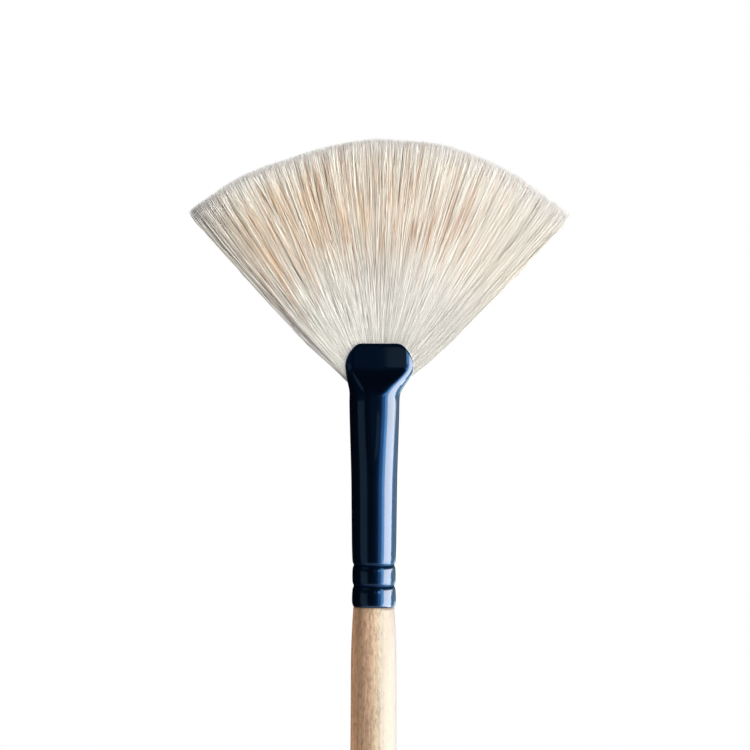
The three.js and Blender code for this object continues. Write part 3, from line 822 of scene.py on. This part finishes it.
def mottle_group():
    """Uneven colour and height: two noises on Object coordinates, stretched by three scales."""
    group = new_group(
        "mottle",
        [
            ("Colour", "NodeSocketColor", (0.5, 0.5, 0.5, 1)),
            ("Stretch", "NodeSocketVector", (1000, 1000, 1000)),
            ("Amount", "NodeSocketFloat", 0.1),
            ("Contrast", "NodeSocketFloat", 0.5),
        ],
        [("Colour", "NodeSocketColor"), ("Height", "NodeSocketFloat")],
    )
    n = Nodes(group)
    given, out = n.add("NodeGroupInput"), n.add("NodeGroupOutput")
    where = n.add("ShaderNodeTexCoord").outputs["Object"]
    scaled = n.add("ShaderNodeVectorMath", operation="MULTIPLY")
    n.join(where, scaled.inputs[0])
    n.join(given.outputs["Stretch"], scaled.inputs[1])
    coarse = n.feed(n.add("ShaderNodeTexNoise"), Vector=scaled.outputs[0], Scale=0.35, Detail=3.0)
    fine = n.add("ShaderNodeTexNoise")
    n.feed(fine, Vector=scaled.outputs[0], Scale=1.7, Detail=5.0, Roughness=0.6)
    both = n.maths("ADD", *(n.maths("MULTIPLY", noise.outputs[0], 0.5) for noise in (coarse, fine)))
    centred = n.maths("SUBTRACT", both, 0.5)
    sharpened = n.maths("MULTIPLY", centred, given.outputs["Contrast"])
    swing = n.maths("MULTIPLY", sharpened, given.outputs["Amount"])
    factor = n.maths("ADD", n.maths("MULTIPLY", swing, 2.0), 1.0)
    tint = n.add("ShaderNodeVectorMath", operation="SCALE")
    n.join(given.outputs["Colour"], tint.inputs[0])
    n.join(factor, tint.inputs["Scale"])
    n.join(tint.outputs[0], out.inputs["Colour"])
    n.join(both, out.inputs["Height"])
    return group


MOTTLE = mottle_group()


def new_material(name):
    """A material, short ways to add nodes to it, and its shader."""
    material = bpy.data.materials.new(name)
    material.use_nodes = True
    n = Nodes(material.node_tree)
    return material, n, material.node_tree.nodes["Principled BSDF"]


def mottled(n, colour, stretch, amount, contrast=4.0):
    """A mottle group's node; its stretch is in cells a metre, roughly, along X, Y and Z."""
    node = n.add("ShaderNodeGroup", node_tree=MOTTLE)
    n.feed(node, Colour=colour, Stretch=stretch, Amount=amount, Contrast=contrast)
    return node


def bump(n, shader, height, depth_m, strength):
    """Fine relief on a shader's normal, from a height of 0 to 1 and its depth in metres."""
    node = n.feed(n.add("ShaderNodeBump"), Height=height, Distance=depth_m, Strength=strength)
    n.join(node.outputs[0], shader.inputs["Normal"])


def lacquer():
    """Dark navy lacquer over metal: a deep blue reflecting base under a clear coat, dull in the grooves,
    where shade is painted in as a darker base and no coat.
    """
    material, n, shader = new_material("navy_lacquer")
    uneven = mottled(n, (0.011, 0.038, 0.098, 1), (300, 300, 120), 0.12)
    groove = n.value_of("groove")
    # Painted shade: in the grooves the base darkens and the clear coat fades away.
    colour = n.mix(n.maths("MULTIPLY", groove, 0.5), uneven.outputs["Colour"], (0.001, 0.014, 0.05, 1))
    n.join(colour, shader.inputs["Base Color"])
    roughness, coat = n.spread(groove, 0.0, 1.0, 0.31, 0.5), n.spread(groove, 0.0, 0.8, 1.0, 0.0)
    n.feed(shader, Metallic=1.0, Roughness=roughness, Coat_Weight=coat, Coat_Roughness=0.03, Coat_IOR=1.5)
    return material


def wood():
    """Bare pale wood with fine upright grain and short dark pores.

    Its front turns from warm brown painted shade at the left, through pale tan, to a greyer tan painted
    highlight at the right.
    """
    material, n, shader = new_material("pale_wood")
    where = n.add("ShaderNodeSeparateXYZ")
    n.join(n.add("ShaderNodeTexCoord").outputs["Object"], where.inputs[0])
    # Painted light and shade across the front, from left to right.
    front = n.stops(
        n.spread(where.outputs["X"], -3.5 * MM, 3.5 * MM, 0.0, 1.0),
        (0.05, (0.72, 0.38, 0.20, 1)), (0.17, (0.37, 0.205, 0.108, 1)), (0.257, (0.40, 0.237, 0.135, 1)),
        (0.343, (0.53, 0.33, 0.21, 1)), (0.514, (0.55, 0.40, 0.262, 1)), (0.686, (0.49, 0.42, 0.315, 1)),
        (0.771, (0.38, 0.31, 0.26, 1)), (0.86, (0.38, 0.31, 0.265, 1)), (0.943, (0.52, 0.45, 0.40, 1)),
    )
    back = n.spread(where.outputs["Y"], -0.6 * MM, 1.2 * MM, 0.0, 1.0)
    body = n.mix(back, front, (0.61, 0.43, 0.275, 1))
    # The grain and pores fade into the painted highlight at the right of the front.
    figure = n.maths("MAXIMUM", n.spread(where.outputs["X"], 0.6 * MM, 1.8 * MM, 1.0, 0.3), back)
    grain = mottled(n, body, (1600, 1600, 70), n.maths("MULTIPLY", figure, 0.3))
    pores = mottled(n, (1, 1, 1, 1), (9000, 9000, 3200), 1.0)
    dark = n.maths("MULTIPLY", n.spread(pores.outputs["Height"], 0.48, 0.60, 0.0, 0.75), figure)
    flecks = n.mix(1.0, grain.outputs["Colour"], (0.50, 0.42, 0.36, 1), "MULTIPLY")
    n.join(n.mix(dark, grain.outputs["Colour"], flecks), shader.inputs["Base Color"])
    n.feed(shader, Roughness=0.6, Coat_Weight=0.7, Coat_Roughness=0.4)
    bump(n, shader, pores.outputs["Height"], 0.04 * MM, 0.35)
    return material


def bristle():
    """Natural hog bristle: greyish at its foot, cream, tan in its upper half and pale at its tips.

    Inside the fan it is tan as painted shade, and in darker bristles it is tan of its own; in the gaps
    between locks it is brown and in streaks amber, both painted shade.
    """
    material, n, shader = new_material("hog_bristle")
    along, tone, depth, gap, grey, streak = (
        n.value_of(name) for name in ("along", "tone", "depth", "gap", "grey", "streak"))
    # A painted highlight: a pale line on the roots just above the lip.
    painted_rim_highlight = (0.004, (0.93, 0.94, 0.96, 1))
    pale = n.stops(
        along, painted_rim_highlight,
        (0.012, (0.72, 0.71, 0.66, 1)), (0.3, (0.83, 0.815, 0.77, 1)), (0.6, (0.94, 0.90, 0.81, 1)),
        (0.9, (0.96, 0.925, 0.845, 1)), (1.0, (0.97, 0.96, 0.94, 1)),
    )
    tan = n.stops(
        along, painted_rim_highlight,
        (0.012, (0.64, 0.63, 0.58, 1)), (0.3, (0.76, 0.725, 0.665, 1)), (0.5, (0.93, 0.86, 0.75, 1)),
        (0.65, (0.96, 0.86, 0.70, 1)), (0.9, (0.96, 0.865, 0.72, 1)), (0.97, (0.96, 0.88, 0.80, 1)),
        (1.0, (0.96, 0.95, 0.93, 1)),
    )
    # Brown and amber: the painted shade of gaps between locks.
    deep = n.stops(
        along, painted_rim_highlight,
        (0.012, (0.64, 0.62, 0.56, 1)), (0.4, (0.74, 0.67, 0.59, 1)), (0.6, (0.83, 0.52, 0.26, 1)),
        (0.88, (0.86, 0.57, 0.32, 1)), (1.0, (0.94, 0.92, 0.88, 1)),
    )
    # Tan from depth is painted shade inside the fan; tan from a low tone is the bristles' own colour.
    warm = n.maths("ADD", n.spread(depth, 0.7, 0.97, 1.0, 0.0), n.spread(tone, -2.4, 0.2, 0.9, 0.0))
    body = n.mix(n.maths("MINIMUM", warm, 1.0), pale, tan)
    # Painted shade in the gaps between locks.
    body = n.mix(n.maths("MULTIPLY", gap, 0.9), body, deep)
    # Amber painted shade in narrow streaks.
    body = n.mix(n.maths("MINIMUM", streak, 1.0), body, (0.51, 0.21, 0.05, 1))
    uneven = n.maths("MULTIPLY", tone, n.spread(along, 0.15, 0.6, 2.2, 1.0))
    body = n.mix(1.0, body, n.spread(uneven, -5.0, 5.0, 0.74, 1.22), "MULTIPLY")
    # Painted shade in grey.
    body = n.mix(grey, body, (0.38, 0.35, 0.34, 1))
    n.join(body, shader.inputs["Base Color"])
    n.feed(shader, Roughness=0.5, Specular_IOR_Level=0.2)
    return material


def resin():
    """Amber resin and glue, half glossy and a little uneven."""
    material, n, shader = new_material("amber_resin")
    uneven = mottled(n, (0.42, 0.28, 0.12, 1), (900, 900, 900), 0.2)
    n.join(uneven.outputs["Colour"], shader.inputs["Base Color"])
    n.feed(shader, Roughness=0.28)
    return material


def linen():
    """Unbleached linen thread with fine fibres."""
    material, n, shader = new_material("linen_thread")
    fibres = mottled(n, (0.78, 0.72, 0.58, 1), (6000, 6000, 9000), 0.3)
    n.join(fibres.outputs["Colour"], shader.inputs["Base Color"])
    n.feed(shader, Roughness=0.9)
    bump(n, shader, fibres.outputs["Height"], 0.03 * MM, 0.6)
    return material


def dress(piece, material):
    """Gives a piece its only material."""
    piece.data.materials.clear()
    piece.data.materials.append(material)


# ------------------------------------------------------------------ the brush

pale_wood, navy_lacquer, hog_bristle = wood(), lacquer(), bristle()
amber_resin, linen_thread = resin(), linen()

for node, material in (
    ("resin_plug", amber_resin),
    ("tenon_glue", amber_resin),
    ("binding_thread", linen_thread),
):
    dress(frame["nodes"][node], material)


def place(piece, material, slot, *nodes):
    """Dresses a new piece, says what it rides on and hides the solids that it replaces. Its slot is not
    used.
    """
    dress(piece, material)
    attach(piece, "root")
    if nodes:
        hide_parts(*nodes)


place(ferrule(), navy_lacquer, "ferrule_lacquer", "ferrule")
place(handle(), pale_wood, "handle_wood", "handle")
place(mouth_resin(), amber_resin, "resin")

# Name, seed, the layers that it fills between the front (-1) and the back (1), bristles, the solid replaced.
for name, seed, low, high, count, *nodes in (
    ("fan_front", 11, -1.0, -0.33, 2200, "bristles_front"),
    ("fan_core", 12, -0.33, 0.33, 1400, "bristles_core"),
    ("fan_back", 13, 0.33, 1.0, 2200, "bristles_back"),
    ("fan_front_fill", 15, -1.0, -0.5, 1800),
    ("fan_back_fill", 16, 0.5, 1.0, 1800),
):
    place(fan_piece(name, seed, low, high, count), hog_bristle, "bristle", *nodes)
place(flag_piece("fan_flags", 14, 500), hog_bristle, "bristle")


# ------------------------------------------------------------------ stage, light and camera

# The floor under the tail, and how far out it fades.
FLOOR_RADIUS = 260.0
FLOOR_SIDES = 96
FLOOR_GAP = 0.2
FADE_START = 80.0
FADE_END = 240.0

# The camera, whose frame is FRAME_WIDTH wide at the brush. Its lean is in degrees.
FRAME_WIDTH = 112.5
SENSOR_WIDTH = 36.0
LENS_LENGTH = 180.0
EYE_ASIDE = 0.08
EYE_DROP = 4.62
EYE_LEAN = -0.15

# The light all round, and the dark room that reflections see instead.
WHITE = (1, 1, 1, 1)
FILL = (0.70, 0.69, 0.675, 1)
ROOM = (0.0012, 0.0018, 0.004, 1)

# Lamps: name, bearing, spread, lower and upper height, radiance, colour and lean.
LAMP_DISTANCE = 450.0
KEY_LAMP = ("key", 50, 50, -350, 550, 2.75, (1.0, 0.99, 0.97))
REFLECTED_LAMPS = (
    ("strip", 77, 47, -450, 150, 10.6, (1.0, 0.85, 0.67)),
    ("strip_high", 108, 20, 76, 140, 6.0, (1.0, 0.90, 0.80), 14),
    ("strip_low", 108, 18, -450, -120, 9.0, (1.0, 0.90, 0.80)),
    ("strip_edge", 46, 14, -450, 300, 4.2, (0.40, 0.76, 1.0)),
    ("strip_verge", 30, 16, -450, 100, 0.8, (0.30, 0.65, 1.0)),
    ("verge_high", 30, 16, 100, 140, 5.0, (0.30, 0.65, 1.0)),
    ("strip_back", 128, 42, -200, 200, 0.7, (0.5, 0.8, 1.0)),
    ("weak_side", -55, 40, -450, 96, 0.24, (0.6, 0.88, 1.0)),
    ("weak_above", -55, 40, 250, 550, 0.24, (0.6, 0.88, 1.0)),
    ("weak_front", 6.4, 12, 100, 135, 0.3, (0.6, 0.85, 1.0)),
    ("wood_edge", 128, 56, -350, 25, 4.0, (0.55, 0.88, 1.0)),
)


def floor():
    """A round pale floor under the handle's tail that fades to white, for the camera, towards its rim."""
    turn = np.linspace(0, 2 * math.pi, FLOOR_SIDES, endpoint=False)
    up = np.full(FLOOR_SIDES, TAIL - FLOOR_GAP)
    points = np.stack([FLOOR_RADIUS * np.cos(turn), FLOOR_RADIUS * np.sin(turn), up], -1)
    piece = new_piece("floor", points, np.arange(FLOOR_SIDES), [FLOOR_SIDES])
    material, n, shader = new_material("pale_floor")
    n.feed(shader, Base_Color=(0.86, 0.86, 0.86, 1), Roughness=0.9)
    level = n.add("ShaderNodeVectorMath", operation="MULTIPLY")
    n.join(n.add("ShaderNodeTexCoord").outputs["Object"], level.inputs[0])
    level.inputs[1].default_value = (1, 1, 0)
    distance = n.add("ShaderNodeVectorMath", operation="LENGTH")
    n.join(level.outputs[0], distance.inputs[0])
    far = n.spread(distance.outputs["Value"], FADE_START * MM, FADE_END * MM, 0.0, 1.0)
    seen = n.add("ShaderNodeLightPath").outputs["Is Camera Ray"]
    glow = n.feed(n.add("ShaderNodeEmission"), Color=WHITE, Strength=1.0)
    blend = n.add("ShaderNodeMixShader")
    n.join(n.maths("MULTIPLY", far, seen), blend.inputs[0])
    n.join(shader.outputs[0], blend.inputs[1])
    n.join(glow.outputs[0], blend.inputs[2])
    n.join(blend.outputs[0], material.node_tree.nodes["Material Output"].inputs["Surface"])
    dress(piece, material)


def world():
    """Even soft light; white to the camera, and to reflections within ten degrees of straight back."""
    sky = bpy.data.worlds.new("studio")
    sky.use_nodes = True
    bpy.context.scene.world = sky
    n = Nodes(sky.node_tree)
    background = sky.node_tree.nodes["Background"]
    rays = n.add("ShaderNodeLightPath").outputs
    direction = n.add("ShaderNodeSeparateXYZ")
    n.join(n.add("ShaderNodeTexCoord").outputs["Generated"], direction.inputs[0])
    behind = n.spread(direction.outputs["Y"], 0.985, 0.995, 0.0, 1.0)
    mirrored = n.maths("MINIMUM", n.maths("ADD", rays["Is Glossy Ray"], rays["Is Transmission Ray"]), 1.0)
    mirrored_behind = n.maths("MULTIPLY", mirrored, behind)
    white = n.maths("MINIMUM", n.maths("ADD", rays["Is Camera Ray"], mirrored_behind), 1.0)
    plain = n.mix(mirrored, FILL, ROOM)
    n.join(n.mix(white, plain, WHITE), background.inputs["Color"])


def softbox(name, bearing, spread, low, high, radiance, colour, lean=0, reflected=True):
    """An upright rectangular lamp between two heights, for reflections alone or for diffuse light alone.

    Its bearing is in degrees from the camera's side towards +X. Its spread is the angle that its width
    fills, seen from the brush, and it leans about the line to the brush.
    """
    lamp = bpy.data.lights.new(name, "AREA")
    lamp.shape = "RECTANGLE"
    width = 2 * LAMP_DISTANCE * math.tan(math.radians(spread) / 2)
    lamp.size, lamp.size_y = width * MM, (high - low) * MM
    lamp.energy = radiance * math.pi * lamp.size * lamp.size_y
    lamp.color = colour
    turn = math.radians(bearing)
    box = bpy.data.objects.new(name, lamp)
    bpy.context.scene.collection.objects.link(box)
    offset = Vector((math.sin(turn), -math.cos(turn), 0)) * LAMP_DISTANCE
    box.location = (offset + Vector((0, 0, (low + high) / 2))) * MM
    facing = offset.to_track_quat("Z", "Y") @ Quaternion((0, 0, 1), math.radians(lean))
    box.rotation_euler = facing.to_euler()
    box.visible_camera = False
    box.visible_diffuse = not reflected
    box.visible_glossy = reflected
    box.visible_transmission = False


def camera():
    """A long lens a little below the ferrule's mouth, leaning slightly, that frames the upper brush."""
    view = bpy.data.cameras.new("camera")
    view.lens, view.sensor_width = LENS_LENGTH, SENSOR_WIDTH
    view.clip_start, view.clip_end = 0.01, 10.0
    eye = bpy.data.objects.new("camera", view)
    bpy.context.scene.collection.objects.link(eye)
    distance = FRAME_WIDTH * LENS_LENGTH / SENSOR_WIDTH
    eye.location = Vector((EYE_ASIDE, -distance, MOUTH - EYE_DROP)) * MM
    eye.rotation_euler = (math.radians(90), math.radians(EYE_LEAN), 0)
    bpy.context.scene.camera = eye


camera()
world()
floor()
softbox(*KEY_LAMP, reflected=False)
for lamp in REFLECTED_LAMPS:
    softbox(*lamp)
bpy.context.scene.view_settings.view_transform = "Standard"
